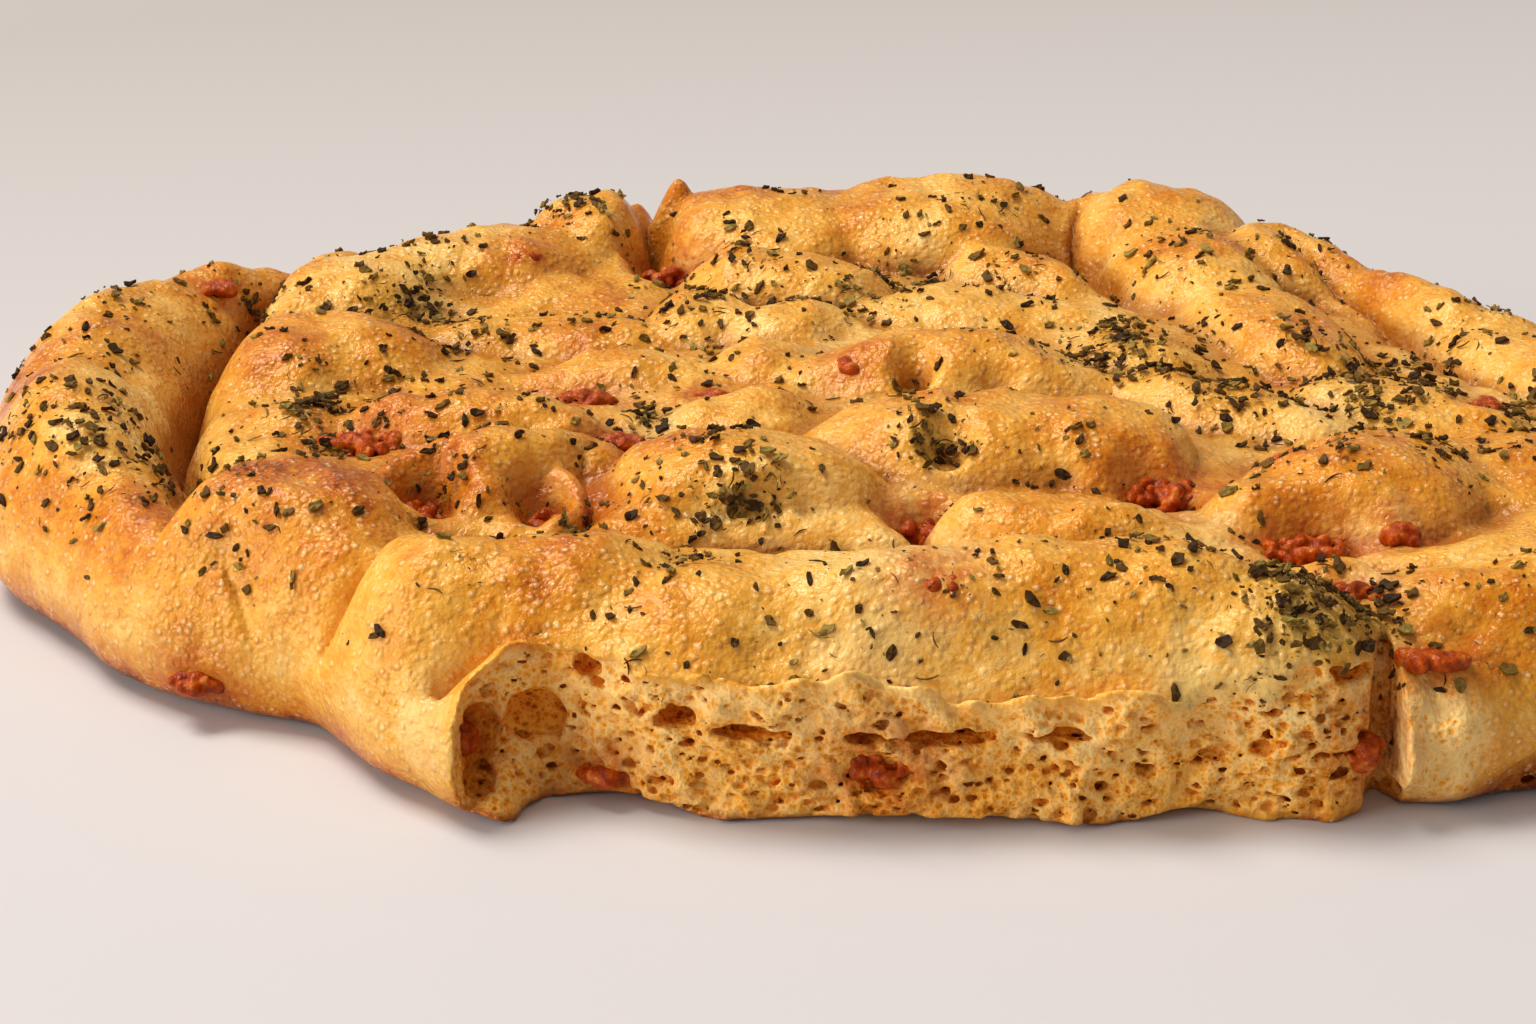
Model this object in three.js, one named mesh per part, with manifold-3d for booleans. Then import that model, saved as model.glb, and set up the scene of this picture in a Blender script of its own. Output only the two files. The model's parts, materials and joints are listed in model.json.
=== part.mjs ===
// Fougasse: a flat Provencal hearth bread, about 300 mm across, with its front broken off.
//
// Units are millimetres, +Z is up, and the origin is the middle of the underside. -Y is the broken
// side, where the crumb shows. The loaf is one baked piece: dough that swelled into puffs between
// the baker's slashes and finger dimples. Pieces of tomato sit in pockets in its skin and crumb.
import * as THREE from "three";
import { mergeVertices } from "three/addons/utils/BufferGeometryUtils.js";
import Module from "manifold-3d";

// Driving dimensions.
const DOUGH_HEIGHT = 27; // of the dough between the puffs
const PUFF_DEPTH = 14; // from a puff's top to where its sides end
const PUFF_FLATNESS = 2.8; // 2 is an ellipsoid, more has a flatter top and steeper sides
const RIM_HEIGHT = 10; // where the rim bulges furthest
const RIM_ROUNDING = 17; // how far in from the rim the top is rounded down to it
const RIM_TUCK = 7; // how far the rim is drawn in where it meets the hearth
const BREAK_HEIGHT = 60; // taller than the loaf
const POCKET_GAP = 0.45; // between a piece of tomato and its pocket

// How finely the loaf is divided: around, from the middle of the top out to the rim, and below it.
const SIDES = 104;
const TOP_RINGS = 32;
const RIM_RINGS = 3;

// The outline seen from above, clockwise from the torn lobe at the front left. In front it runs
// past the break, as the loaf did before it was broken.
const OUTLINE = [
  [-54, -114], [-61, -108.5], [-68, -101.5], [-80, -88], [-86, -81], [-97, -77], [-108, -72],
  [-120, -62], [-134, -43], [-146, -20], [-152, 8], [-151, 34], [-139, 56], [-124, 70], [-108, 76],
  [-84, 86], [-62, 97], [-45, 105], [-30, 108], [-12, 110], [20, 111], [46, 109],
  [66, 108], [80, 102], [95, 82], [116, 50], [139, 17], [152, -20], [148, -54], [131, -78],
  [114, -93], [100, -101], [90, -105], [83, -109.5], [76, -111], [70, -122], [60, -130],
  [0, -130], [-40, -128],
];

// Puffs of dough: [x, y, top, half length, half width, turn of the long axis from +X in degrees].
const PUFFS = [
  // The front roll, and the torn lobe at its left end.
  [-64, -88, 34, 22, 17, -20], [-44, -84, 33.5, 22, 15, 10], [-22, -92, 32, 26, 16, 5],
  [4, -92, 33, 26, 16, 0], [28, -90, 34.5, 30, 17, -3], [52, -98, 32, 20, 16, -28],
  // The left shoulder and the left lobe.
  [-90, -60, 33.5, 24, 19, -30], [-80, -76, 31, 16, 14, -40], [-120, -58, 29, 26, 18, 125],
  [-133, -18, 33, 34, 20, 100], [-133, 24, 32.5, 34, 20, 76], [-120, 58, 33.5, 20, 15, 40],
  [-100, 70, 33, 18, 12, 10],
  // The left half, behind the shoulder.
  [-92, 14, 33.5, 23, 19, 12], [-92, 50, 33, 22, 17, 35], [-62, -24, 33.5, 27, 10, -4],
  [-58, -42, 33.5, 27, 9, 20], [-60, -52, 30.5, 8, 7, 0], [-54, 28, 30, 30, 12, -4],
  [-42, 8, 30, 24, 10, 6], [-26, 34, 31.5, 14, 14, 0], [-70, 68, 34, 30, 17, 28],
  [-50, 88, 37, 15, 19, -10], [-38, 99, 38.5, 8, 8, 0],
  // The pale pillows in the middle.
  [-18, -45, 35, 23, 15, 0], [28, -63, 32, 23, 9, -8], [20, -30, 34.5, 32, 16, -3],
  [40, -32, 34.5, 16, 15, -20], [-18, -16, 31.5, 16, 10, 12], [16, 2, 34, 34, 14, -6],
  [-14, 10, 31.5, 14, 12, 0], [-10, 30, 32, 18, 12, 8], [22, 36, 32, 28, 13, -12],
  [-10, 54, 34, 24, 13, -18], [34, 60, 32.5, 20, 13, -35],
  // The back rim.
  [-14, 88, 36.5, 28, 22, -10], [20, 89, 39.4, 28, 24, 0], [61, 88, 37.5, 21, 22, -80],
  // The right side.
  [65, 60, 35, 27, 17, -74], [74, 28, 33.5, 32, 14, -70], [86, 68, 35, 18, 16, -50],
  [108, 46, 32.5, 40, 17, -56], [122, 4, 31.5, 34, 17, -62], [134, -36, 30, 28, 16, 78],
  [116, -64, 30.5, 28, 18, 30], [50, 12, 31, 20, 13, -50], [62, -12, 31, 28, 12, -36],
  [92, -14, 31, 26, 15, -38], [79, -50, 34.5, 21, 19, -15], [62, -56, 31.5, 12, 9, -20],
  [106, -42, 31, 22, 22, -40], [92, -82, 31, 28, 16, 20],
];

// Slashes and the creases between puffs: how far the shoulders reach, and a line of
// [x, y, floor height].
const CREASES = [
  [18, [[-111, 68, 27], [-115, 46, 22], [-116, 20, 19], [-114, -20, 20], [-112, -54, 25]]],
  [9, [[-106, 86, 34], [-106, 70, 28], [-110, 50, 16], [-112, 30, 12], [-113, 10, 11],
    [-112, -14, 12], [-109, -38, 17], [-108, -56, 23], [-110, -68, 27]]],
  [7, [[-66, -64, 29], [-73, -76, 27], [-84, -88, 12]]],
  [8, [[-80, -56, 31], [-68, -62, 24], [-50, -64, 20], [-38, -65, 18], [0, -68, 16],
    [20, -75, 18], [38, -78, 21], [66, -74, 21], [78, -78, 26], [90, -84, 30]]],
  [6, [[-36, -26, 32], [-43, -38, 28], [-42, -54, 21], [-44, -66, 18]]],
  [8, [[-2, -34, 33], [4, -46, 26], [7, -58, 19], [8, -70, 17]]],
  [7, [[-34, -26, 31], [-12, -20, 29], [10, -13, 27], [30, -13, 28], [50, -18, 30]]],
  [8, [[-92, -8, 27], [-60, -8, 28], [-44, -4, 27], [-28, -10, 28]]],
  [9, [[-38, 112, 32], [-38, 100, 29], [-38, 90, 18], [-36, 78, 17], [-33, 64, 24]]],
  [11, [[47, 110, 39], [47, 98, 36], [46, 86, 28], [46, 74, 21], [48, 62, 23], [53, 44, 26],
    [60, 22, 28], [68, 2, 30]]],
  [10, [[84, 84, 36], [87, 70, 33], [91, 56, 26], [99, 32, 22], [108, 8, 24], [118, -14, 28]]],
  [17, [[-61, -101, 15], [-54, -98, 21], [-46, -99, 24], [-38, -104, 23], [-24, -108, 22],
    [-14, -108, 19], [3, -108, 16], [20, -108, 15], [45, -108, 18], [57, -108, 20],
    [71, -107, 20]]],
];

// Dimples pressed by a fingertip: [x, y, floor, half length, half width, turn].
const DIMPLES = [
  [-69, -51, 22, 9, 9, -10], [-49, -53, 20, 8, 9, 0], [48, -46, 22, 11, 7, -30],
  [69, -42, 25, 9, 7, 20], [67, -67, 20, 15, 9, -5], [9, -54, 18, 9, 9, 0],
  [-82, -30, 27, 10, 7, 0], [-34, 70, 20, 10, 10, 0], [12, -6, 26, 6, 7, 0],
];
const DIMPLE_FLOOR = 0.25; // share of a dimple's half length that is flat

// The line that the front was broken along, seen from above, with the tip of crust it left.
const BREAK_LINE = [
  [-68, -126], [-60, -111], [-59, -103.5], [-56, -103.5], [-54.5, -111], [-51, -111],
  [-48, -99], [-40, -101], [-32, -105], [-16, -107.5], [4, -108.5], [40, -108], [49, -106],
  [56, -108], [64, -107.5], [69, -104.5], [71, -98], [72.5, -97], [74.5, -110.5], [90, -112.5],
];

// Where the crust's lower edge was torn away at the right: [x, y, z, half sizes along X, Y and Z].
const UNDERCUTS = [
  [76, -108, -1, 5, 6, 5], [97, -103.5, 0, 10, 5, 9],
];

// Pieces of tomato: [x, y, z of the middle, half length, half width, half height, turn in degrees].
const TOMATO_PIECES = [
  // In the dimples and creases of the skin.
  [-69, -49, 23.5, 7.5, 5.5, 4.5, 0],
  [-47, -50, 23, 8, 6, 5, -10],
  [-39, -28, 27.6, 5.5, 3.8, 3.2, 10],
  [-81, -29, 27.6, 9, 5, 3.4, 15],
  [-47, -3, 26, 7, 4, 3, -10],
  [-25, -6, 27.2, 4.5, 3, 2.6, 0],
  [-1, -1, 31.8, 4, 3, 2.8, 60],
  [9, -53, 22, 7, 5, 5, 10],
  [9, -93, 31.6, 5.5, 5, 3.4, 60],
  [47, -44, 25, 8, 5.5, 4.4, -30],
  [69, -41, 28.5, 7.5, 5, 4.4, 20],
  [66, -66, 24.5, 8, 5.5, 5.4, 0],
  [80, -67, 28, 4, 4, 4, -20],
  [70, -87, 27, 7.5, 3, 3, 15],
  [78.5, -101, 23, 7.5, 3, 2.8, 22],
  // In the torn face.
  [2, -106.5, 8.5, 7.5, 4, 5.4, 0],
  [68, -104, 10.5, 4.4, 4, 5.2, 0],
  [-38, -101, 5, 5, 4, 3, 0],
  [-58, -100.5, 11, 2.6, 3.2, 4, 0],
  // At the rims.
  [-33, 72, 24.5, 8, 6, 4.8, 30],
  [-61, 59, 32.2, 5, 3.5, 2.8, 0],
  [105, -11, 27.8, 4, 3, 2.8, 70],
  [-117, 48, 29.5, 4.5, 3.5, 2.6, 0],
  [-101, -74.5, 7, 5, 4, 3.4, 20],
];
const TOMATO_SIDES = 10;
const TOMATO_RINGS = 7;

const wasm = await Module();
wasm.setup();

const crust = new THREE.MeshStandardMaterial({ color: 0xd9963f, roughness: 0.55, metalness: 0 });
const tomato = new THREE.MeshStandardMaterial({ color: 0xb03a1e, roughness: 0.35, metalness: 0 });

// A closed geometry as a solid that can be joined and cut.
function solidOf(geometry) {
  const bare = geometry.clone();
  for (const name of ["normal", "uv"]) bare.deleteAttribute(name);
  const merged = mergeVertices(bare, 1e-4);
  return new wasm.Manifold(
    new wasm.Mesh({
      numProp: 3,
      vertProperties: merged.attributes.position.array,
      triVerts: new Uint32Array(merged.index.array),
    }),
  );
}

// A solid's surface as a three.js geometry.
function geometryOf(solid) {
  const { vertProperties, triVerts } = solid.getMesh();
  const geometry = new THREE.BufferGeometry();
  geometry.setAttribute("position", new THREE.BufferAttribute(vertProperties, 3));
  geometry.setIndex(new THREE.BufferAttribute(triVerts, 1));
  geometry.computeVertexNormals();
  return geometry;
}

// Rises steeply from 0, and levels off at 1 where the share reaches 1.
function quarterRound(share) {
  return Math.sqrt(1 - (1 - THREE.MathUtils.clamp(share, 0, 1)) ** 2);
}

// How far a place is from the middle of a turned ellipse, where 1 is on the ellipse.
function ellipseShare(place, x, y, long, wide, turn) {
  const away = new THREE.Vector2(place.x - x, place.y - y)
    .rotateAround(new THREE.Vector2(), -THREE.MathUtils.degToRad(turn));
  return Math.hypot(away.x / long, away.y / wide);
}

// The distance from a place to a line of [x, y, floor], and the floor at the line's nearest point.
function nearestOnLine(place, points) {
  let nearest = { away: Infinity, floor: 0 };
  for (let i = 1; i < points.length; i++) {
    const [start, end] = [points[i - 1], points[i]].map((p) => new THREE.Vector3(...p));
    const [flatStart, flatEnd] = [start, end].map((p) => new THREE.Vector3(p.x, p.y, 0));
    const segment = new THREE.Line3(flatStart, flatEnd);
    const share = segment.closestPointToPointParameter(place, true);
    const away = segment.at(share, new THREE.Vector3()).distanceTo(place);
    if (away < nearest.away) {
      nearest = { away, floor: THREE.MathUtils.lerp(start.z, end.z, share) };
    }
  }
  return nearest;
}

// The height of the loaf's top at a place on the plan that is this far in from its rim.
function topHeight(place, inward) {
  let top = DOUGH_HEIGHT;
  for (const [x, y, height, ...ellipse] of PUFFS) {
    const share = Math.min(ellipseShare(place, x, y, ...ellipse), 1);
    top = Math.max(top, height - PUFF_DEPTH * (1 - Math.sqrt(1 - share ** PUFF_FLATNESS)));
  }
  for (const [x, y, floor, ...ellipse] of DIMPLES) {
    const share = (ellipseShare(place, x, y, ...ellipse) - DIMPLE_FLOOR) / (1 - DIMPLE_FLOOR);
    const rise = Math.sin(THREE.MathUtils.clamp(share, 0, 1) * Math.PI / 2);
    top = floor + (top - floor) * rise;
  }
  for (const [reach, points] of CREASES) {
    const { away, floor } = nearestOnLine(place, points);
    top = Math.min(top, floor + Math.max(top - floor, 0) * quarterRound(away / reach));
  }
  return RIM_HEIGHT + (top - RIM_HEIGHT) * quarterRound(inward / RIM_ROUNDING);
}

// The whole loaf before it was broken: a sphere's grid, with its upper rows laid over the top from
// the middle out to the rim, and its lower rows drawn in below the rim to a flat underside.
function wholeLoaf() {
  const outline = new THREE.CatmullRomCurve3(
    OUTLINE.map(([x, y]) => new THREE.Vector3(x, y, 0)), true,
  );
  const rim = outline.getSpacedPoints(SIDES);
  const rows = TOP_RINGS + RIM_RINGS + 1;
  const geometry = new THREE.SphereGeometry(1, SIDES, rows);
  const points = geometry.attributes.position;
  for (let row = 0; row <= rows; row++) {
    for (let side = 0; side <= SIDES; side++) {
      const edge = rim[SIDES - side];
      const place = edge.clone();
      if (row < TOP_RINGS) {
        place.multiplyScalar(row / TOP_RINGS);
        const inward = Math.min(...rim.map((point) => point.distanceTo(place)));
        place.z = topHeight(place, inward);
      } else {
        const below = Math.min((row - TOP_RINGS) / RIM_RINGS, 1);
        const tuck = RIM_TUCK * (1 - Math.sqrt(1 - below ** 2));
        place.setLength(row === rows ? 0 : edge.length() - tuck);
        place.z = RIM_HEIGHT * (1 - below);
      }
      points.setXYZ(row * (SIDES + 1) + side, place.x, place.y, place.z);
    }
  }
  return geometry;
}

// Everything in front of the break line, as tall as the loaf and more.
function brokenOff() {
  const front = Math.min(...BREAK_LINE.map(([, y]) => y)) - BREAK_HEIGHT;
  const [left, right] = [BREAK_LINE.at(0)[0], BREAK_LINE.at(-1)[0]];
  const corners = [[left, front], [right, front], ...[...BREAK_LINE].reverse()];
  const shape = new THREE.Shape(corners.map(([x, y]) => new THREE.Vector2(x, y)));
  return new THREE.ExtrudeGeometry(shape, { depth: 2 * BREAK_HEIGHT, bevelEnabled: false })
    .translate(0, 0, -BREAK_HEIGHT);
}

// A lumpy piece of tomato. Each one's lumps are set off by its number, and grow makes its pocket.
function tomatoPiece([x, y, z, long, wide, high, turn], number, grow = 0) {
  const geometry = new THREE.SphereGeometry(1, TOMATO_SIDES, TOMATO_RINGS);
  const points = geometry.attributes.position;
  const point = new THREE.Vector3();
  for (let i = 0; i < points.count; i++) {
    point.fromBufferAttribute(points, i);
    const lump = 1 + 0.1 * Math.sin(4 * point.x + number) * Math.cos(3 * point.y + 2 * number)
      + 0.07 * Math.sin(5 * point.z - number);
    points.setXYZ(i, point.x * lump * (long + grow), point.y * lump * (wide + grow),
      point.z * lump * (high + grow));
  }
  return geometry.rotateZ(THREE.MathUtils.degToRad(turn)).translate(x, y, z);
}

function loaf() {
  let dough = solidOf(wholeLoaf()).subtract(solidOf(brokenOff()));
  for (const [x, y, z, ...halfSizes] of UNDERCUTS) {
    const scoop = new THREE.SphereGeometry(1, TOMATO_SIDES, TOMATO_RINGS)
      .scale(...halfSizes)
      .translate(x, y, z);
    dough = dough.subtract(solidOf(scoop));
  }
  TOMATO_PIECES.forEach((piece, i) => {
    dough = dough.subtract(solidOf(tomatoPiece(piece, i, POCKET_GAP)));
  });
  return geometryOf(dough);
}

const fougasse = new THREE.Group();
const bread = new THREE.Mesh(loaf(), crust);
bread.name = "loaf";
fougasse.add(bread);

TOMATO_PIECES.forEach((piece, i) => {
  const mesh = new THREE.Mesh(tomatoPiece(piece, i), tomato);
  mesh.name = `tomato_piece_${String(i + 1).padStart(2, "0")}`;
  fougasse.add(mesh);
});

export default fougasse;
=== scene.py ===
# Fougasse: a flat Provencal hearth bread with its front broken off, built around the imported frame.
# Lengths in the dough's sculpt are millimetres, as a baker would measure; every mesh is in metres.
import json
import math

import bmesh
import bpy
import numpy as np
from mathutils import Matrix, Vector

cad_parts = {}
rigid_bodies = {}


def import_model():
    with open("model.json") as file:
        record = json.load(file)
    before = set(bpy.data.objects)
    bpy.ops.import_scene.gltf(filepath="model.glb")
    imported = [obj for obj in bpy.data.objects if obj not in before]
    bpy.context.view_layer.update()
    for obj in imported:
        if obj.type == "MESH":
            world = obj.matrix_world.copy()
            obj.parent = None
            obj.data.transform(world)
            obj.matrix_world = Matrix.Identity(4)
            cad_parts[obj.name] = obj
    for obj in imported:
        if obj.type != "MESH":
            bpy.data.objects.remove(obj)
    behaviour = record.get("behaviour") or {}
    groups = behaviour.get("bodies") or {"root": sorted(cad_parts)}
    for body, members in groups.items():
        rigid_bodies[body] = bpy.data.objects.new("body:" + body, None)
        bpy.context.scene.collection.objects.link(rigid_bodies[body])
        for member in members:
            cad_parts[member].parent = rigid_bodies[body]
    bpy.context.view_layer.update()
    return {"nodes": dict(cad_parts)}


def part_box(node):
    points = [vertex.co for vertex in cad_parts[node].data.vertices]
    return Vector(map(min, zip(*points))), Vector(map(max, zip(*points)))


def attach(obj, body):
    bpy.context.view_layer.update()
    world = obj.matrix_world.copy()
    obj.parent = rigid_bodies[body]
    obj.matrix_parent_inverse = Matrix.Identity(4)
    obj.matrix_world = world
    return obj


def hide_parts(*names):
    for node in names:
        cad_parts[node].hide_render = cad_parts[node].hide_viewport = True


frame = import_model()
MM = 0.001
scene = bpy.context.scene


# ---- Camera ----------------------------------------------
# A short telephoto held low over the table, looking a little down on the broken front. The whole
# left end is in the frame, and the right end runs out of it.
CAMERA_TILT = math.radians(22)  # below the horizon
CAMERA_PLACE = (-0.015, -0.4828, 0.1989)
LENS_MM = 70.3

camera = bpy.data.objects.new("camera", bpy.data.cameras.new("camera"))
scene.collection.objects.link(camera)
camera.data.sensor_width = 36
camera.data.lens = LENS_MM
camera.data.clip_start = 0.01
camera.location = CAMERA_PLACE
camera.rotation_euler = (math.pi / 2 - CAMERA_TILT, 0, 0)
scene.camera = camera


# ---- Loaf ------------------------------------------------
# One piece of oiled wheat dough, baked on a flat hearth. The baker slashed and dimpled it, and it
# swelled into puffs that met again over the slashes. The front was broken off by hand, which left
# a rough face of open crumb between the crust above and the crust below.

# The outline seen from above, with the part of the front that was broken off.
OUTLINE = [
    (-54, -113), (-61, -108), (-68, -101), (-80, -88), (-86, -81), (-97, -77), (-108, -72),
    (-120, -62), (-134, -43), (-145.5, -20), (-150.5, 8), (-149.5, 34), (-139, 56), (-124, 70),
    (-108, 76), (-84, 85), (-62, 96), (-45, 104), (-38, 106), (-30, 107), (-12, 109), (20, 110),
    (38, 109), (46, 108), (54, 108), (66, 107), (80, 101), (95, 82), (116, 50), (138, 16),
    (150, -20), (146, -54), (131, -78), (114, -93), (100, -101), (90, -104.5), (83, -108.3),
    (76, -109.6), (70, -122), (60, -130), (0, -130), (-40, -128),
]
OUTLINE_POINTS = 5  # along each stretch of its curve
RIM_HEIGHT = 10  # where the rim bulges furthest
RIM_ROUNDING = 17
RIM_TUCK = 7  # how far the rim is drawn in where it meets the hearth
HEARTH_FILLET = 2

DOUGH_HEIGHT = 27
# Puffs: x, y, top, half length, half width, turn of the long axis in degrees.
PUFFS = [
    # the front roll and the torn lobe at its left end
    (-64, -88, 34, 22, 17, -20), (-44, -84, 33.5, 22, 15, 10), (-22, -92, 32, 26, 16, 5),
    (4, -92, 33, 26, 16, 0), (28, -90, 34.5, 30, 17, -3), (52, -98, 32, 20, 16, -28),
    # the left shoulder and the left lobe
    (-90, -60, 33.5, 24, 19, -30), (-80, -76, 31, 16, 14, -40),
    (-120, -58, 29, 26, 18, 125), (-133, -18, 33, 34, 20, 100), (-133, 24, 32.5, 34, 20, 76),
    (-118, 58, 32, 18, 14, 40), (-104, 68, 33, 18, 12, 20),
    # the left half, behind the shoulder
    (-92, 14, 33.5, 23, 19, 12), (-92, 50, 33, 22, 17, 35), (-92, -18, 29.5, 14, 12, 0),
    (-62, -24, 33.5, 27, 10, -4), (-58, -42, 33.5, 27, 9, 20), (-60, -52, 30.5, 8, 7, 0),
    (-54, 28, 30, 30, 12, -4), (-42, 8, 30, 24, 10, 6), (-26, 34, 31.5, 14, 14, 0),
    (-70, 68, 34, 30, 17, 28), (-50, 88, 37, 15, 19, -10), (-38, 99, 38.5, 8, 8, 0),
    # the pale pillows in the middle
    (-18, -45, 35, 23, 15, 0), (28, -63, 32, 23, 9, -8), (-46, -52, 30.5, 6, 12, 0),
    (20, -30, 34.5, 32, 16, -3), (40, -32, 34.5, 16, 15, -20), (-18, -16, 31.5, 16, 10, 12),
    (16, 2, 34, 34, 14, -6), (-14, 10, 31.5, 14, 12, 0), (-10, 30, 32, 18, 12, 8),
    (22, 36, 32, 28, 13, -12), (-10, 54, 34, 24, 13, -18), (34, 60, 32.5, 20, 13, -35),
    # the back rim
    (-14, 88, 36.5, 28, 22, -10), (20, 89, 37.9, 28, 24, 0), (61, 88, 37, 21, 22, -80),
    # the right side
    (65, 60, 35, 27, 17, -74), (74, 28, 33.5, 32, 14, -70), (86, 68, 35, 18, 16, -50),
    (108, 46, 32.5, 40, 17, -56), (122, 4, 31.5, 34, 17, -62), (134, -36, 30, 28, 16, 78),
    (116, -64, 30.5, 28, 18, 30), (50, 12, 31, 20, 13, -50), (62, -12, 31, 28, 12, -36),
    (92, -14, 31, 26, 15, -38), (79, -50, 34.5, 21, 19, -15), (62, -56, 31.5, 12, 9, -20),
    (106, -42, 31, 22, 22, -40), (92, -82, 31, 28, 16, 20), (70, -82, 28.5, 14, 8, -12),
]
PUFF_DEPTH = 14  # how far a puff falls from its top to its edge
PUFF_FLATNESS = 2.8  # 2 is a round puff, and more is a flatter one
PUFF_FILLET = 2.4

# Creases between puffs, each a line of x, y and floor height, and how far its shoulders reach.
CREASES = [
    (18, [(-107, 68, 27), (-111, 46, 22), (-113, 20, 19), (-113, -20, 20), (-110, -54, 25)]),
    (8, [(-106, 86, 34), (-106, 70, 28), (-110, 50, 15), (-112, 30, 11), (-113, 10, 10),
         (-112, -14, 11), (-109, -38, 16), (-108, -56, 23), (-110, -68, 27)]),
    (7, [(-66, -64, 29), (-73, -76, 27), (-84, -88, 12)]),
    (5, [(-110, -68, 27), (-98, -72, 25), (-90, -82, 16)]),
    (8, [(-80, -56, 31), (-68, -62, 24), (-50, -64, 20), (-38, -65, 18), (-20, -66, 16),
         (0, -68, 16), (20, -75, 18), (38, -78, 21), (52, -76, 23), (66, -74, 21),
         (78, -78, 26), (90, -84, 30)]),
    (6, [(-36, -26, 32), (-43, -38, 28), (-42, -54, 21), (-44, -66, 18)]),
    (8, [(-2, -34, 33), (4, -46, 26), (7, -58, 19), (8, -70, 17)]),
    (5, [(4, -47, 26), (20, -50, 27), (37, -51, 27), (47, -50, 24), (52, -62, 27)]),
    (7, [(-34, -26, 31), (-12, -20, 29), (10, -13, 27), (30, -13, 28), (50, -18, 30)]),
    (8, [(-92, -8, 27), (-76, -10, 28), (-60, -8, 28), (-44, -4, 27), (-28, -10, 28)]),
    (7, [(-92, -34, 27), (-78, -32, 27), (-62, -32, 29), (-48, -28, 30)]),
    (8, [(-6, 22, 31), (14, 21, 30), (36, 16, 30)]),
    (9, [(-38, 112, 32), (-38, 100, 29), (-38, 90, 18), (-36, 78, 17), (-33, 64, 24)]),
    (11, [(47, 110, 39), (47, 98, 36), (46, 86, 28), (46, 74, 21), (48, 62, 23), (53, 44, 26),
          (60, 22, 28), (68, 2, 30)]),
    (10, [(84, 84, 36), (87, 70, 33), (91, 56, 26), (99, 32, 22), (108, 8, 24), (118, -14, 28)]),
    (5, [(52, -34, 31), (56, -30, 29), (72, -31, 30), (96, -40, 30)]),
    (6, [(96, -44, 29), (102, -58, 28), (112, -70, 29)]),
    (17, [(-61, -101, 15), (-54, -98, 21), (-46, -99, 24), (-38, -104, 23), (-24, -108, 22),
          (-14, -108, 19), (3, -108, 16), (20, -108, 15), (45, -108, 18), (57, -108, 20),
          (71, -107, 20)]),
]

# Dimples pressed by a fingertip: x, y, floor, half length, half width, turn.
DIMPLES = [
    (-69, -51, 22, 9, 9, -10), (-49, -53, 20, 8, 9, 0), (48, -46, 22, 11, 7, -30),
    (69, -42, 25, 9, 7, 20), (67, -67, 20, 15, 9, -5), (9, -54, 18, 9, 9, 0),
    (14, -40, 27, 8, 7, 0), (-82, -30, 27, 10, 7, 0), (-34, 70, 20, 10, 10, 0),
    (12, -6, 26, 6, 7, 0), (26, -9, 28, 8, 4, 0), (-118, -62, 26, 8, 6, 0),
    (80, -98, 26, 12, 4, 25),
]
DIMPLE_FLAT = 0.25  # the share of a dimple that is flat floor
DIMPLE_WALL = 0.8  # how steep its wall is
# The handmade unevenness of the dough: the width and height of its swells.
OUTLINE_WOBBLE = [(24, 2.2), (8, 0.7)]
RIM_WOBBLE = (12, 1.2)
DOUGH_SWELL = (22, 1.2)
SKIN_SWELLS = [(8, 0.75), (4, 0.45), (2, 0.3)]
BODY_SWELLS = [(5, 0.3), (2.2, 0.12)]

PEAK = (-33, 94, 37.2, 3.0)  # a bit of crust pulled up beside a slash: x, y, top, steepness
PEAK_BLUNTNESS = 2.8
PEAK_FILLET = 1.5

# The line that the front was broken along, seen from above.
BREAK_LINE = [
    (-68, -126), (-60, -114), (-57.5, -105), (-54, -101), (-47, -99), (-40, -101.5), (-32, -105.5),
    (-16, -108), (4, -109), (40, -108.5), (49, -106), (56, -108), (64, -107.5), (69, -104.5),
    (71, -98), (72.5, -97), (74.5, -109.5), (90, -112),
]
CUT_X = 73  # where the front roll ends at a cut
UNBROKEN = -200  # a break so far in front that it takes nothing off
BREAK_ROUGHNESS = [(9, 0.9), (3.5, 0.9), (1.7, 0.8)]  # width and height of its lumps
CRUST_THICKNESS = 1.1
CRUST_LIP = [(-46, 1.6), (-30, 0.3)]  # x, and how far the crust stands proud of the torn crumb
TORN_EDGE = 0.9  # how round the torn dough's edges are

# Hollows in the crumb at the break: x, y, z and the three radii. The big one is at the left end.
HOLLOWS = [
    (-56, -101, 11, 3.2, 4, 4.5), (-48.5, -97, 12, 5, 3.4, 4), (-56, -103, 5, 2.5, 3, 3),
    (-28, -104, 15.5, 3.2, 3.2, 1.7), (-17, -106, 13.8, 6, 2.4, 1.2), (-40, -99, 21, 2.4, 2.6, 1.8),
    (-1, -107, 13.6, 3.4, 2.6, 1.2), (10, -107, 13.6, 6.5, 2.8, 1.3), (26, -107, 13.8, 5, 2, 1),
    (47, -106, 10, 2, 2, 1), (66, -104, 22, 4, 2.4, 1.4), (38, -107, 8, 1.6, 1.8, 0.9),
    (73, -106, 2, 2.5, 8, 3), (-1, -110, 8, 6.5, 3.6, 4),
    # where the bottom crust curls up off the table
    (-38, -105, -1.5, 13, 7, 4), (44, -108, -1, 8, 5, 2.8), (4, -110.5, -1.6, 34, 6, 3.4),
]
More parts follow.
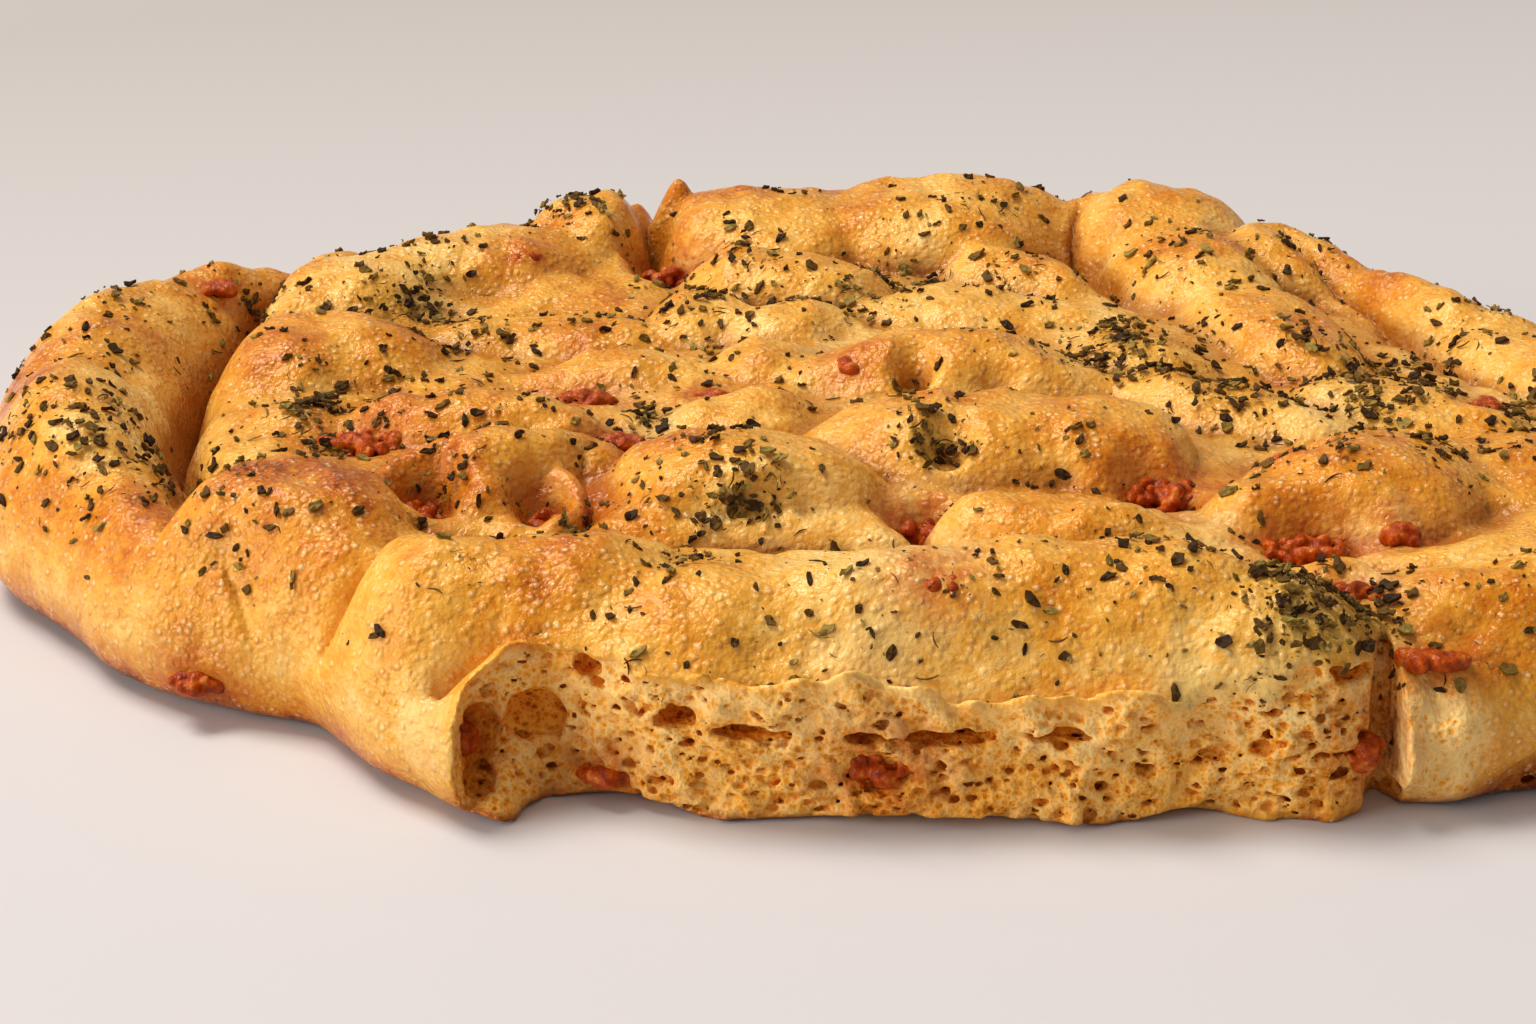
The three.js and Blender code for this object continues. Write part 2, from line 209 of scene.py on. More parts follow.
# Where the crust's lower edge was torn away at the right, under the roll.
UNDERCUTS = [(76, -108, -1, 5, 6, 5), (97, -103.5, 0, 10, 5, 9)]
TORN_TONGUE = (78, -107, 11, 9, 8, 11)  # bare crumb right of the cut: its middle and half sizes
TONGUE_ROUGHNESS = [(3.4, 0.9), (1.7, 0.6)]  # width and depth of its tears
TORN_SIDE = 90  # right of this the broken face's crust is whole
UNDERCUT_FACE = [(74, -100), (84, -99), (94, -97), (104, -94)]
# Bubbles of the crumb: how far apart, and their smallest and largest radius.
BUBBLES = [(1.9, 0.45, 0.8), (4.2, 0.7, 1.15), (11, 1.1, 1.8)]
BUBBLE_STRETCH = (1.3, 1, 0.75)
BUBBLE_FILLET = 0.25
HOLLOW_FILLET = 0.8
BUBBLE_REACH = 5  # how far behind the break the crumb is worked out
TIP = (-53, 4, 9, 9)  # a tip of bottom crust left at the break: x, half width, reach, height

GRID_STEP = 0.45  # fine enough for the walls between crumb cells
GRID_STEP_BEHIND = 0.75  # along Y, behind the broken face
BROKEN_DEPTH = 18  # how much of the front has the fine grid
MARGIN = 6  # of the grid round the loaf
LOAF_TRIANGLES = 196_000

lowest, highest = (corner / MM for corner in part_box("loaf"))
xs = np.arange(lowest.x - MARGIN, highest.x + MARGIN, GRID_STEP, dtype=np.float32)
ys = np.concatenate([
    np.arange(lowest.y - MARGIN, lowest.y + BROKEN_DEPTH, GRID_STEP),
    np.arange(lowest.y + BROKEN_DEPTH, highest.y + MARGIN, GRID_STEP_BEHIND),
]).astype(np.float32)
zs = np.arange(-2, highest.z + MARGIN, GRID_STEP, dtype=np.float32)


def weights(points, spacing, start):
    """Rows that blend random values spacing apart into a smooth curve at the points."""
    place = (points - start) / spacing + 1
    whole = np.floor(place).astype(int)
    t = place - whole
    rows = np.zeros((len(points), whole.max() + 4), np.float32)
    index = np.arange(len(points))
    for offset, weight in enumerate([
        (1 - t) ** 3 / 6, (3 * t**3 - 6 * t**2 + 4) / 6,
        (-3 * t**3 + 3 * t**2 + 3 * t + 1) / 6, t**3 / 6,
    ]):
        rows[index, whole + offset] = weight
    return rows


def noise(axes, spacing, seed):
    """Smooth noise from about -1 to 1 on the grid of these axes, with lumps about spacing wide."""
    rows = [weights(a, spacing, a[0]) for a in axes]
    values = np.random.default_rng(seed).uniform(-2.2, 2.2, [r.shape[1] for r in rows])
    values = values.astype(np.float32)
    for r in rows:
        values = np.tensordot(values, r, axes=(0, 1))
    return values


def smooth_join(a, b, fillet):
    """The union of two distance fields, with the crease between them filled in a little."""
    h = np.maximum(fillet - np.abs(a - b), 0) / fillet
    return np.minimum(a, b) - h * h * fillet / 4


def smooth_cut(a, b, fillet):
    """a without b."""
    return -smooth_join(-a, b, fillet)


def closed_curve(points, count):
    """Points along a smooth closed curve through the given ones, count to each stretch."""
    p = np.array(points, float)
    p = np.vstack([p[-1], p, p[0], p[1]])
    made = []
    for i in range(1, len(p) - 2):
        t = np.linspace(0, 1, count, endpoint=False)[:, None]
        made.append(0.5 * (
            2 * p[i] + (p[i + 1] - p[i - 1]) * t
            + (2 * p[i - 1] - 5 * p[i] + 4 * p[i + 1] - p[i + 2]) * t**2
            + (3 * p[i] - p[i - 1] - 3 * p[i + 1] + p[i + 2]) * t**3
        ))
    return np.vstack(made)


def outline_distance(x, y, loop):
    """Distance to a closed outline, negative inside it."""
    best = np.full(x.shape, 1e9, np.float32)
    crossings = np.zeros(x.shape, bool)
    for a, b in zip(loop, np.roll(loop, -1, axis=0)):
        edge = b - a
        t = np.clip(((x - a[0]) * edge[0] + (y - a[1]) * edge[1]) / (edge @ edge), 0, 1)
        best = np.minimum(best, (x - a[0] - t * edge[0]) ** 2 + (y - a[1] - t * edge[1]) ** 2)
        spans = (a[1] > y) != (b[1] > y)
        crossings ^= spans & (x < a[0] + (y - a[1]) * edge[0] / (edge[1] or 1e-9))
    return np.where(crossings, -1, 1) * np.sqrt(best)


def turned(x, y, long, wide, turn):
    """The plan grid around a place, turned and scaled so that an ellipse is the unit circle."""
    c, s = math.cos(math.radians(turn)), math.sin(math.radians(turn))
    dx, dy = plan_x - x, plan_y - y
    return np.hypot((dx * c + dy * s) / long, (dy * c - dx * s) / wide)


def nearest_on_line(points):
    """Distance to a line of points on the plan, and the line's third value at the nearest place."""
    best = np.full(plan_x.shape, 1e9, np.float32)
    value = np.zeros(plan_x.shape, np.float32)
    for a, b in zip(points, points[1:]):
        ex, ey = b[0] - a[0], b[1] - a[1]
        t = np.clip(((plan_x - a[0]) * ex + (plan_y - a[1]) * ey) / (ex * ex + ey * ey), 0, 1)
        d = np.hypot(plan_x - a[0] - t * ex, plan_y - a[1] - t * ey)
        value = np.where(d < best, a[2] + t * (b[2] - a[2]), value)
        best = np.minimum(best, d)
    return best, value


def quarter_round(t):
    """Rises steeply from 0, and levels off at 1 where t reaches 1."""
    return np.sqrt(np.maximum(1 - (1 - np.clip(t, 0, 1)) ** 2, 0))


grid = [xs, ys, zs]
plan = [xs, ys]
flat_x, flat_y = np.meshgrid(xs, ys, indexing="ij")
plan_x, plan_y = flat_x, flat_y
for seed, (width, reach) in enumerate(OUTLINE_WOBBLE, 1):
    plan_x = plan_x + reach * noise(plan, width, seed)
    plan_y = plan_y + reach * noise(plan, width, seed + 2)

width, height = DOUGH_SWELL
top = DOUGH_HEIGHT + height * noise(plan, width, 5)
for x, y, height, long, wide, turn in PUFFS:
    r = np.minimum(turned(x, y, long, wide, turn), 1)
    puff = height - PUFF_DEPTH * (1 - np.sqrt(1 - r**PUFF_FLATNESS))
    top = -smooth_join(-top, -puff, PUFF_FILLET)
for x, y, floor, long, wide, turn in DIMPLES:
    r = np.clip((turned(x, y, long, wide, turn) - DIMPLE_FLAT) / (1 - DIMPLE_FLAT), 0, 1)
    top = floor + (top - floor) * np.sin(r * math.pi / 2) ** DIMPLE_WALL
for reach, points in CREASES:
    away, floor = nearest_on_line(points)
    top = np.minimum(top, floor + np.maximum(top - floor, 0) * quarter_round(away / reach))

loop = closed_curve(OUTLINE, OUTLINE_POINTS)
width, reach = RIM_WOBBLE
inward = -outline_distance(
    flat_x + reach * noise(plan, width, 6), flat_y + reach * noise(plan, width, 7), loop)
top = RIM_HEIGHT + (top - RIM_HEIGHT) * quarter_round(inward / RIM_ROUNDING)
top += np.clip(inward / RIM_HEIGHT, 0, 1) * sum(
    height * noise(plan, width, seed) for seed, (width, height) in zip((8, 9, 11), SKIN_SWELLS))

peak_x, peak_y, peak_top, steepness = PEAK
peak = np.hypot(np.hypot(plan_x - peak_x, plan_y - peak_y), PEAK_BLUNTNESS) - PEAK_BLUNTNESS
peak = peak_top - steepness * peak
top = -smooth_join(-top, -peak, PEAK_FILLET)

slope_x, slope_y = np.gradient(top, xs, ys)
steep = np.sqrt(1 + slope_x**2 + slope_y**2)
under = zs[None, None, :]
below_rim = np.clip((RIM_HEIGHT - zs) / RIM_HEIGHT, 0, 1)
tuck = RIM_TUCK * (1 - np.sqrt(1 - below_rim**2))
body = (under - top[:, :, None]) / steep[:, :, None]
body = np.maximum(body, tuck - inward[:, :, None]).astype(np.float32)
body += sum(
    height * noise(grid, width, seed) for seed, (width, height) in zip((10, 12), BODY_SWELLS))
body = smooth_cut(body, under, HEARTH_FILLET)  # the hearth's flat floor

# The broken face: crumb full of bubbles, with a lip of crust round it that stands proud.
line = np.array(BREAK_LINE, float)
break_y = np.interp(xs, *line.T, left=UNBROKEN, right=UNBROKEN).astype(np.float32)
crumb_line = np.vstack([line[line[:, 0] < CUT_X], UNDERCUT_FACE])
broken_off = ys[None, :, None] - break_y[:, None, None] + 0 * body
for seed, (width, height) in enumerate(BREAK_ROUGHNESS):
    broken_off += height * noise(grid, width, 20 + seed)
tip_x, tip_width, tip_reach, tip_height = TIP
broken_off += tip_reach * (
    np.exp(-(((xs - tip_x) / tip_width) ** 2))[:, None, None]
    * np.clip(1 - zs / tip_height, 0, 1)[None, None, :]
)
lip = np.interp(xs, *zip(*CRUST_LIP)).astype(np.float32)[:, None, None]
broken_off -= lip * np.clip(-body / CRUST_THICKNESS - 0.3, 0, 1)
crumb_depth = -body


def carve(field, x, y, z, radii, fillet):
    """Cuts an ellipsoid out of the field."""
    w = tuple(
        slice(*np.searchsorted(a, (c - r - fillet - 1, c + r + fillet + 1)))
        for a, c, r in zip(grid, (x, y, z), radii)
    )
    u, v, h = (a[s] for a, s in zip(grid, w))
    r = np.sqrt(
        ((u - x)[:, None, None] / radii[0]) ** 2
        + ((v - y)[None, :, None] / radii[1]) ** 2
        + ((h - z)[None, None, :] / radii[2]) ** 2
    )
    field[w] = smooth_cut(field[w], (r - 1) * min(radii), fillet)


def on_tongue(x, y, z):
    """1 on the torn tongue, falling to 0 round it."""
    away = np.sqrt(sum(
        ((a - middle) / half) ** 2
        for a, middle, half in zip((x, y, z), TORN_TONGUE, TORN_TONGUE[3:])
    ))
    return np.clip(2 * (1.2 - away), 0, 1)


loaf_field = smooth_cut(body, broken_off, TORN_EDGE)
torn = on_tongue(xs[:, None, None], ys[None, :, None], zs[None, None, :])
for seed, (width, depth) in enumerate(TONGUE_ROUGHNESS):
    loaf_field += torn * depth * np.maximum(0.5 + noise(grid, width, 25 + seed), 0)
for x, y, z, *radii in UNDERCUTS + HOLLOWS:
    carve(loaf_field, x, y, z, radii, HOLLOW_FILLET)
rng = np.random.default_rng(30)
for apart, smallest, largest in BUBBLES:
    for x in np.arange(crumb_line[0, 0], crumb_line[-1, 0], apart):
        for z in np.arange(0.5, highest.z, apart * 0.8):
            for back in np.arange(0, BUBBLE_REACH, apart):
                jitter = rng.uniform(-0.5, 0.5, 3) * apart
                radius = rng.uniform(smallest, largest)
                cx, cz = x + jitter[0], z + jitter[2]
                cy = np.interp(cx, crumb_line[:, 0], crumb_line[:, 1]) + back + jitter[1]
                at = tuple(
                    min(np.searchsorted(a, c), len(a) - 1) for a, c in zip(grid, (cx, cy, cz)))
                if crumb_depth[at] > CRUST_THICKNESS * 0.6 + radius * 0.75:
                    radii = [radius * stretch for stretch in BUBBLE_STRETCH]
                    carve(loaf_field, cx, cy, cz, radii, BUBBLE_FILLET)


def surface_nets(field, axes):
    """The zero surface of a field as vertices and quads, one vertex in each cell it crosses."""
    inside = field < 0
    n = [len(a) for a in axes]
    count = np.zeros([k - 1 for k in n], np.int8)
    corners = [(i, j, k) for i in (0, 1) for j in (0, 1) for k in (0, 1)]
    for i, j, k in corners:
        count += inside[i:n[0] - 1 + i, j:n[1] - 1 + j, k:n[2] - 1 + k]
    cell = np.argwhere((count > 0) & (count < 8))
    value = np.stack([field[tuple((cell + c).T)] for c in corners], 1)
    place = [np.stack([a[cell[:, d] + c[d]] for c in corners], 1) for d, a in enumerate(axes)]
    place = np.stack(place, 2)
    total = np.zeros((len(cell), 3))
    crossings = np.zeros((len(cell), 1))
    for a in range(8):
        for b in range(a + 1, 8):
            if sum(p != q for p, q in zip(corners[a], corners[b])) != 1:
                continue
            va, vb = value[:, a], value[:, b]
            crossed = (va < 0) != (vb < 0)
            t = np.where(crossed, va / np.where(crossed, va - vb, 1), 0)[:, None]
            total += crossed[:, None] * (place[:, a] * (1 - t) + place[:, b] * t)
            crossings += crossed[:, None]
    vertices = total / crossings
    number = np.full(count.shape, -1, np.int32)
    number[tuple(cell.T)] = np.arange(len(cell))
    quads = []
    for d in range(3):
        e, f = (d + 1) % 3, (d + 2) % 3
        low = [slice(None)] * 3
        high = [slice(None)] * 3
        low[d], high[d] = slice(0, -1), slice(1, None)
        edge = np.argwhere(inside[tuple(low)] != inside[tuple(high)])
        edge = edge[(edge[:, e] > 0) & (edge[:, f] > 0)
                    & (edge[:, e] < n[e] - 1) & (edge[:, f] < n[f] - 1)]
        outward = inside[tuple(edge.T)]
        ring = []
        for de, df in ((1, 1), (0, 1), (0, 0), (1, 0)):
            c = edge.copy()
            c[:, e] -= de
            c[:, f] -= df
            ring.append(number[tuple(c.T)])
        ring = np.stack(ring, 1)
        ring[~outward] = ring[~outward][:, ::-1]
        quads.append(ring)
    return vertices, np.vstack(quads)


def biggest_part(vertices, faces):
    """Only the largest connected piece of a mesh, without sealed bubbles and loose crumbs."""
    label = np.arange(len(vertices))
    ends = np.vstack([faces[:, [0, 1]], faces[:, [1, 2]], faces[:, [2, 3]]])
    while True:
        least = np.minimum(label[ends[:, 0]], label[ends[:, 1]])
        fresh = label.copy()
        np.minimum.at(fresh, ends[:, 0], least)
        np.minimum.at(fresh, ends[:, 1], least)
        fresh = fresh[fresh]
        if np.array_equal(fresh, label):
            break
        label = fresh
    keep = label == np.bincount(label).argmax()
    renumber = np.cumsum(keep) - 1
    return vertices[keep], renumber[faces[keep[faces[:, 0]]]]


def mesh_object(name, vertices, faces):
    """An object at the origin with this mesh, in metres."""
    mesh = bpy.data.meshes.new(name)
    sides = faces.shape[1]
    mesh.vertices.add(len(vertices))
    mesh.vertices.foreach_set("co", np.asarray(vertices, np.float32).ravel())
    mesh.loops.add(faces.size)
    mesh.loops.foreach_set("vertex_index", faces.astype(np.int32).ravel())
    mesh.polygons.add(len(faces))
    mesh.polygons.foreach_set("loop_start", np.arange(0, faces.size, sides, dtype=np.int32))
    mesh.update(calc_edges=True)
    mesh.validate()
    made = bpy.data.objects.new(name, mesh)
    scene.collection.objects.link(made)
    return made


def sample(field, axes, points):
    """Values of a field at points, blended between the grid's."""
    low, part = [], []
    for d, a in enumerate(axes):
        i = np.clip(np.searchsorted(a, points[:, d]) - 1, 0, len(a) - 2)
        low.append(i)
        part.append(np.clip((points[:, d] - a[i]) / (a[i + 1] - a[i]), 0, 1))
    total = np.zeros(len(points))
    for corner in np.ndindex(*[2] * len(axes)):
        share = np.ones(len(points))
        for c, t in zip(corner, part):
            share *= t if c else 1 - t
        total += share * field[tuple(i + c for i, c in zip(low, corner))]
    return total


def note(mesh, name, values):
    """Stores one number for each vertex, for the materials."""
    mesh.attributes.new(name, "FLOAT", "POINT").data.foreach_set(
        "value", np.asarray(values, np.float32))


def blurred(field, reach):
    """A plan field averaged over a square of about this reach, three times."""
    for axis, a in enumerate(plan):
        for _ in range(3):
            total = np.insert(np.cumsum(field, axis=axis), 0, 0, axis=axis)
            i = np.searchsorted(a, a - reach)
            j = np.searchsorted(a, a + reach)
            span = (j - i).reshape([-1, 1] if axis == 0 else [1, -1])
            field = (np.take(total, j, axis=axis) - np.take(total, i, axis=axis)) / span
    return field


def gathered(spots, softness):
    """How near each place on the plan is to the nearest of some round spots, from 0 to 1."""
    near = np.zeros(flat_x.shape)
    for x, y, radius, strength in spots:
        d = np.hypot(flat_x - x, flat_y - y)
        near = np.maximum(near, strength / (1 + np.exp((d - radius) / (radius * softness))))
    return near


# Where the oven browned the skin most, and where it stayed pale: x, y, radius, strength.
BROWNED = [
    (-33, 94, 4, 0.7), (44, -30, 8, 0.15), (-88, 20, 12, 0.6), (-70, -10, 12, 0.6),
    (-82, -58, 16, 0.5), (-70, -44, 8, 0.5), (-36, -38, 6, 0.6), (-40, 100, 10, 0.8),
    (30, 108, 14, 0.7), (70, 22, 16, 0.6), (112, -72, 14, 0.4), (0, 95, 22, 0.4),
    (-120, 62, 12, 0.1), (-60, 80, 18, 0.3), (24, -84, 10, 0.4), (-60, -82, 8, 0.3),
    (90, -90, 9, 0.4), (-147, 8, 3, 0.9), (-143, -8, 3.5, 0.8), (-141, -20, 3, 0.8),
    (-136, -32, 3, 0.7), (-146, 24, 3, 0.7),
]
PALE = [
    (-14, -52, 14, 0.5), (28, -63, 16, 0.3), (-50, -68, 10, 0.7), (-30, 22, 16, 0.6),
    (0, -108, 22, 0.5), (60, -104, 18, 0.7), (-62, -102, 12, 0.5), (46, -62, 10, 0.5),
    (96, -74, 12, 0.3), (-120, -10, 14, 0.4), (12, -12, 8, 0.9), (-8, 36, 14, 0.4),
    (72, -46, 12, 0.5), (-147, -24, 14, 0.8), (-138, -44, 12, 0.6),
    (-128, -30, 9, 0.7), (32, 2, 10, 0.6), (27, -34, 9, 0.5),
]
# How far each cause shifts the bake, where 0 is pale and 1 is dark.
SPOT_BAKE = 0.26
HEIGHT_BAKE = 0.035  # for each millimetre that the dough stands out
BAKE_MOTTLING = [(16, 0.16), (5, 0.14)]  # width and strength of its patches
HEARTH_BAKE = (13, 0.5)  # the height where it ends, and its strength at the bottom

vertices, quads = biggest_part(*surface_nets(loaf_field, grid))
loaf = mesh_object("baked_loaf", vertices * MM, quads)
thin = loaf.modifiers.new("thin", "DECIMATE")
thin.ratio = min(1, LOAF_TRIANGLES / (2 * len(quads)))
graph = bpy.context.evaluated_depsgraph_get()
thinned = bpy.data.meshes.new_from_object(loaf.evaluated_get(graph))
loaf.modifiers.remove(thin)
loaf.data = thinned
thinned.shade_smooth()

places = np.zeros(len(thinned.vertices) * 3, np.float32)
thinned.vertices.foreach_get("co", places)
places = places.reshape(-1, 3) / MM
crumb = sample(crumb_depth, grid, places)
behind = places[:, 1] - np.interp(places[:, 0], crumb_line[:, 0], crumb_line[:, 1])
behind = np.minimum(sample(broken_off, grid, places), np.maximum(behind, 0))
relief = np.clip(top - blurred(top, 9), -6, 3.5)
bake = HEIGHT_BAKE * relief
for seed, (width, strength) in enumerate(BAKE_MOTTLING, 40):
    bake += strength * noise(plan, width, seed)
bake += SPOT_BAKE * (gathered(BROWNED, 0.35) - gathered(PALE, 0.3))
bake = sample(bake, plan, places)
level, strength = HEARTH_BAKE
bake += strength * np.clip(1 - places[:, 2] / level, 0, 1)
bare = np.clip((crumb - 0.5 * CRUST_THICKNESS) / CRUST_THICKNESS, 0, 1)
bare *= np.clip((TORN_SIDE - places[:, 0]) / 6, 0, 1)
torn = on_tongue(*places.T)
note(thinned, "crumb", np.maximum(bare, torn))
# The crumb's tone: painted shade that darkens it the deeper it lies behind the broken face, more
# amber low down where oil soaked in, and painted light that makes the torn tongue paler.
oily = np.clip((14 - places[:, 2]) / 10, 0, 1) * np.clip((places[:, 0] + 40) / 20, 0, 1)
note(thinned, "crumb_shading_and_oil", np.clip(behind / 6, 0, 1) + 0.14 * oily - 0.35 * torn)
note(thinned, "bake", bake)
# Painted shade on the skin: darker in its creases and where it lies low in the slashes, kept off the
# rim and the broken edge.
crease_shading = -0.25 * (top - blurred(top, 7)) - 0.35 * (top - blurred(top, 3))
to_edge = np.minimum(inward, flat_y - break_y[:, None])
crease_shading = np.maximum(crease_shading, (21 - top) / 9) * np.clip(to_edge / RIM_ROUNDING - 0.3, 0, 1)
note(thinned, "painted_crease_shade", np.clip(sample(crease_shading, plan, places), 0, 1))
pink = np.zeros(len(places))
for node in (n for n in frame["nodes"] if n.startswith("tomato_piece_")):
    low, high = (np.array(corner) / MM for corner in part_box(node))
    away = np.linalg.norm((places - (low + high) / 2) / ((high - low) / 2 + 2), axis=1)
    pink = np.maximum(pink, np.clip(1.7 - away, 0, 1))
note(thinned, "pink", pink)


def linear(colour):
    """An sRGB hex colour as the linear values that a shader takes."""
    parts = [int(colour[i:i + 2], 16) / 255 for i in (1, 3, 5)]
    return (*[p / 12.92 if p <= 0.04045 else ((p + 0.055) / 1.055) ** 2.4 for p in parts], 1)


def add(tree, kind, inputs=None, out=0, stops=(), **settings):
    """Adds a node with its settings, its inputs' values and links, and a ramp's stops.

    Gives back one of its outputs, or the node itself where it has none.
    """
    made = tree.nodes.new(kind)
    for name, value in settings.items():
        setattr(made, name, value)
    for name, value in (inputs or {}).items():
        socket = made.inputs[name]
        if isinstance(value, bpy.types.NodeSocket):
            tree.links.new(value, socket)
        elif isinstance(value, str) and value.startswith("#"):
            socket.default_value = linear(value)
        else:
            socket.default_value = value
    for index, (at, colour) in enumerate(stops):
        elements = made.color_ramp.elements
        stop = elements[index] if index < 2 else elements.new(at)
        stop.position = at
        stop.color = linear(colour)
    return made.outputs[out] if made.outputs else made


def empty_material(name):
    """A node material with only its output, and its tree."""
    made = bpy.data.materials.new(name)
    made.use_nodes = True
    made.node_tree.nodes.clear()
    return made, made.node_tree


# Baked wheat dough brushed with olive oil: the skin is gold where it is thin and moist, orange to
# brown where the oven reached it, and it glistens. The crumb inside is pale and matt.
PER_METRE = 1000  # noise scales are one over a size in millimetres
dough, tree = empty_material("oiled_baked_dough")
place = add(tree, "ShaderNodeTexCoord", out="Object")
bake_at, crumb_at, crumb_shading_at, pink_at, painted_crease_shade_at, herbs_at = (
    add(tree, "ShaderNodeAttribute", out="Fac", attribute_name=name)
    for name in ("bake", "crumb", "crumb_shading_and_oil", "pink", "painted_crease_shade", "herbs")
)
# Lumpy noise for each of these sizes in millimetres, and its detail.
lumps = {
    size: add(tree, "ShaderNodeTexNoise", {
        "Vector": place, "Scale": PER_METRE / size, "Detail": detail, "Roughness": 0.55})
    for size, detail in (
        (7, 3), (5, 3), (4.5, 3), (3.5, 2), (3, 3), (2.5, 3), (2.4, 3), (1.4, 3), (1.2, 3), (0.55, 2),
    )
}
# Rounded cells of these sizes in millimetres: 0 in the middle of each, rising to its walls.
cells = {
    size: add(tree, "ShaderNodeTexVoronoi", {"Vector": place, "Scale": PER_METRE / size})
    for size in (1.5, 1.25, 0.8, 0.6)
}

# The skin's colour: how far it is baked, with mottling, pale blisters that also carry painted
# highlights, and painted shade in the creases.
shade = add(tree, "ShaderNodeMath", {0: lumps[4.5], 1: 0.7, 2: bake_at}, operation="MULTIPLY_ADD")
shade = add(tree, "ShaderNodeMath", {0: lumps[1.2], 1: 0.6, 2: shade}, operation="MULTIPLY_ADD")
shade = add(tree, "ShaderNodeMath", {0: shade, 1: 0.32}, operation="SUBTRACT")
skin = add(tree, "ShaderNodeValToRGB", {"Fac": shade}, stops=[
    (0.0, "#F0C472"), (0.25, "#E9AC46"), (0.45, "#DD962C"), (0.64, "#CE7C16"), (0.83, "#B45A08"),
    (1.0, "#7C3603"),
])
# Pale blisters and specks: partly the paler thin skin of real blisters, partly painted highlights
# that stand for glints of oil on their tops.
blisters = add(tree, "ShaderNodeMapRange", {"Value": cells[1.5], "From Min": 0.34, "From Max": 0.1})
specks = add(tree, "ShaderNodeMapRange", {
    "Value": cells[0.8], "From Min": 0.34, "From Max": 0.1, "To Max": 0.7})
patches = add(tree, "ShaderNodeMapRange", {
    "Value": lumps[2.4], "From Min": 0.42, "From Max": 0.62, "To Max": 0.85})
pale = add(tree, "ShaderNodeMath", {0: blisters, 1: specks}, operation="MAXIMUM")
pale = add(tree, "ShaderNodeMath", {0: pale, 1: patches}, operation="MULTIPLY")
skin = add(tree, "ShaderNodeMix", {0: pale, 6: skin, 7: "#FADA9E"}, out=2, data_type="RGBA")
# Painted shade: the skin turns amber brown in its creases and low slashes.
crease_shade_mix = add(tree, "ShaderNodeMath", {0: painted_crease_shade_at, 1: 0.85}, operation="MULTIPLY")
skin = add(tree, "ShaderNodeMix", {0: crease_shade_mix, 6: skin, 7: "#A05404"}, out=2, data_type="RGBA")

# The crumb's colour: pale walls, with painted shade that turns it amber in its pores and the deeper
# it lies behind the broken face, and painted light on the torn tongue.
# Painted shade: the middles of the crumb's cells are darker, as shade in its pores.
cell_shade = add(tree, "ShaderNodeMapRange", {
    "Value": cells[1.25], "From Min": 0.5, "From Max": 0.15, "To Max": 0.42})
fine_cell_shade = add(tree, "ShaderNodeMapRange", {
    "Value": cells[0.6], "From Min": 0.5, "From Max": 0.2, "To Max": 0.3})
cell_shade = add(tree, "ShaderNodeMath", {0: cell_shade, 1: fine_cell_shade}, operation="ADD")
patches = add(tree, "ShaderNodeMapRange", {
    "Value": lumps[5], "From Min": 0.36, "From Max": 0.6, "To Min": 0.35})
deep = add(tree, "ShaderNodeMath", {0: crumb_shading_at, 1: 0.54, 2: -0.17}, operation="MULTIPLY_ADD")
deep = add(tree, "ShaderNodeMath", {0: cell_shade, 1: patches, 2: deep}, operation="MULTIPLY_ADD")
deep = add(tree, "ShaderNodeMath", {0: lumps[7], 1: 0.5, 2: deep}, operation="MULTIPLY_ADD")
inside = add(tree, "ShaderNodeValToRGB", {"Fac": deep}, stops=[
    (0.0, "#FFD68A"), (0.28, "#FAB042"), (0.54, "#E48A1A"), (0.8, "#BC6005"), (1.0, "#8A4202"),
])
colour = add(tree, "ShaderNodeMix", {0: crumb_at, 6: skin, 7: inside}, out=2, data_type="RGBA")

# Stains: tomato juice round each red piece, and green oil under the thick herbs.
patches = add(tree, "ShaderNodeMapRange", {
    "Value": lumps[3], "From Min": 0.35, "From Max": 0.6, "To Min": 0.15, "To Max": 0.75})
juice = add(tree, "ShaderNodeMath", {0: pink_at, 1: patches}, operation="MULTIPLY")
colour = add(tree, "ShaderNodeMix", {0: juice, 6: colour, 7: "#B85412"}, out=2, data_type="RGBA")
patches = add(tree, "ShaderNodeMapRange", {
    "Value": lumps[2.5], "From Min": 0.3, "From Max": 0.6, "To Min": 0.3})
steeped = add(tree, "ShaderNodeMapRange", {
    "Value": herbs_at, "From Min": 0.2, "From Max": 0.9, "To Max": 0.45})
steeped = add(tree, "ShaderNodeMath", {0: steeped, 1: patches}, operation="MULTIPLY")
colour = add(tree, "ShaderNodeMix", {0: steeped, 6: colour, 7: "#A8862E"}, out=2, data_type="RGBA")

# The relief: fine grain, then blisters on the skin and pores in the crumb, then soft lumps.
domes = add(tree, "ShaderNodeMapRange", {"Value": cells[1.5], "From Min": 0.5, "From Max": 0})
pits = add(tree, "ShaderNodeMath", {0: cells[1.25], 1: 1.6}, operation="MULTIPLY")
pits = add(tree, "ShaderNodeMath", {0: cells[0.6], 1: 0.5, 2: pits}, operation="MULTIPLY_ADD")
relief = add(tree, "ShaderNodeMix", {0: crumb_at, 2: domes, 3: pits})
surface = add(tree, "ShaderNodeBump", {"Height": lumps[0.55], "Strength": 0.4, "Distance": 0.0005})
surface = add(tree, "ShaderNodeBump", {
    "Height": relief, "Strength": 0.45, "Distance": 0.0006, "Normal": surface})
surface = add(tree, "ShaderNodeBump", {
    "Height": lumps[3.5], "Strength": 0.45, "Distance": 0.0015, "Normal": surface})
dulled = add(tree, "ShaderNodeMath", {0: lumps[1.4], 1: 0.35, 2: 0.13}, operation="MULTIPLY_ADD")
dulled = add(tree, "ShaderNodeMath", {0: crumb_at, 1: 0.35, 2: dulled}, operation="MULTIPLY_ADD")
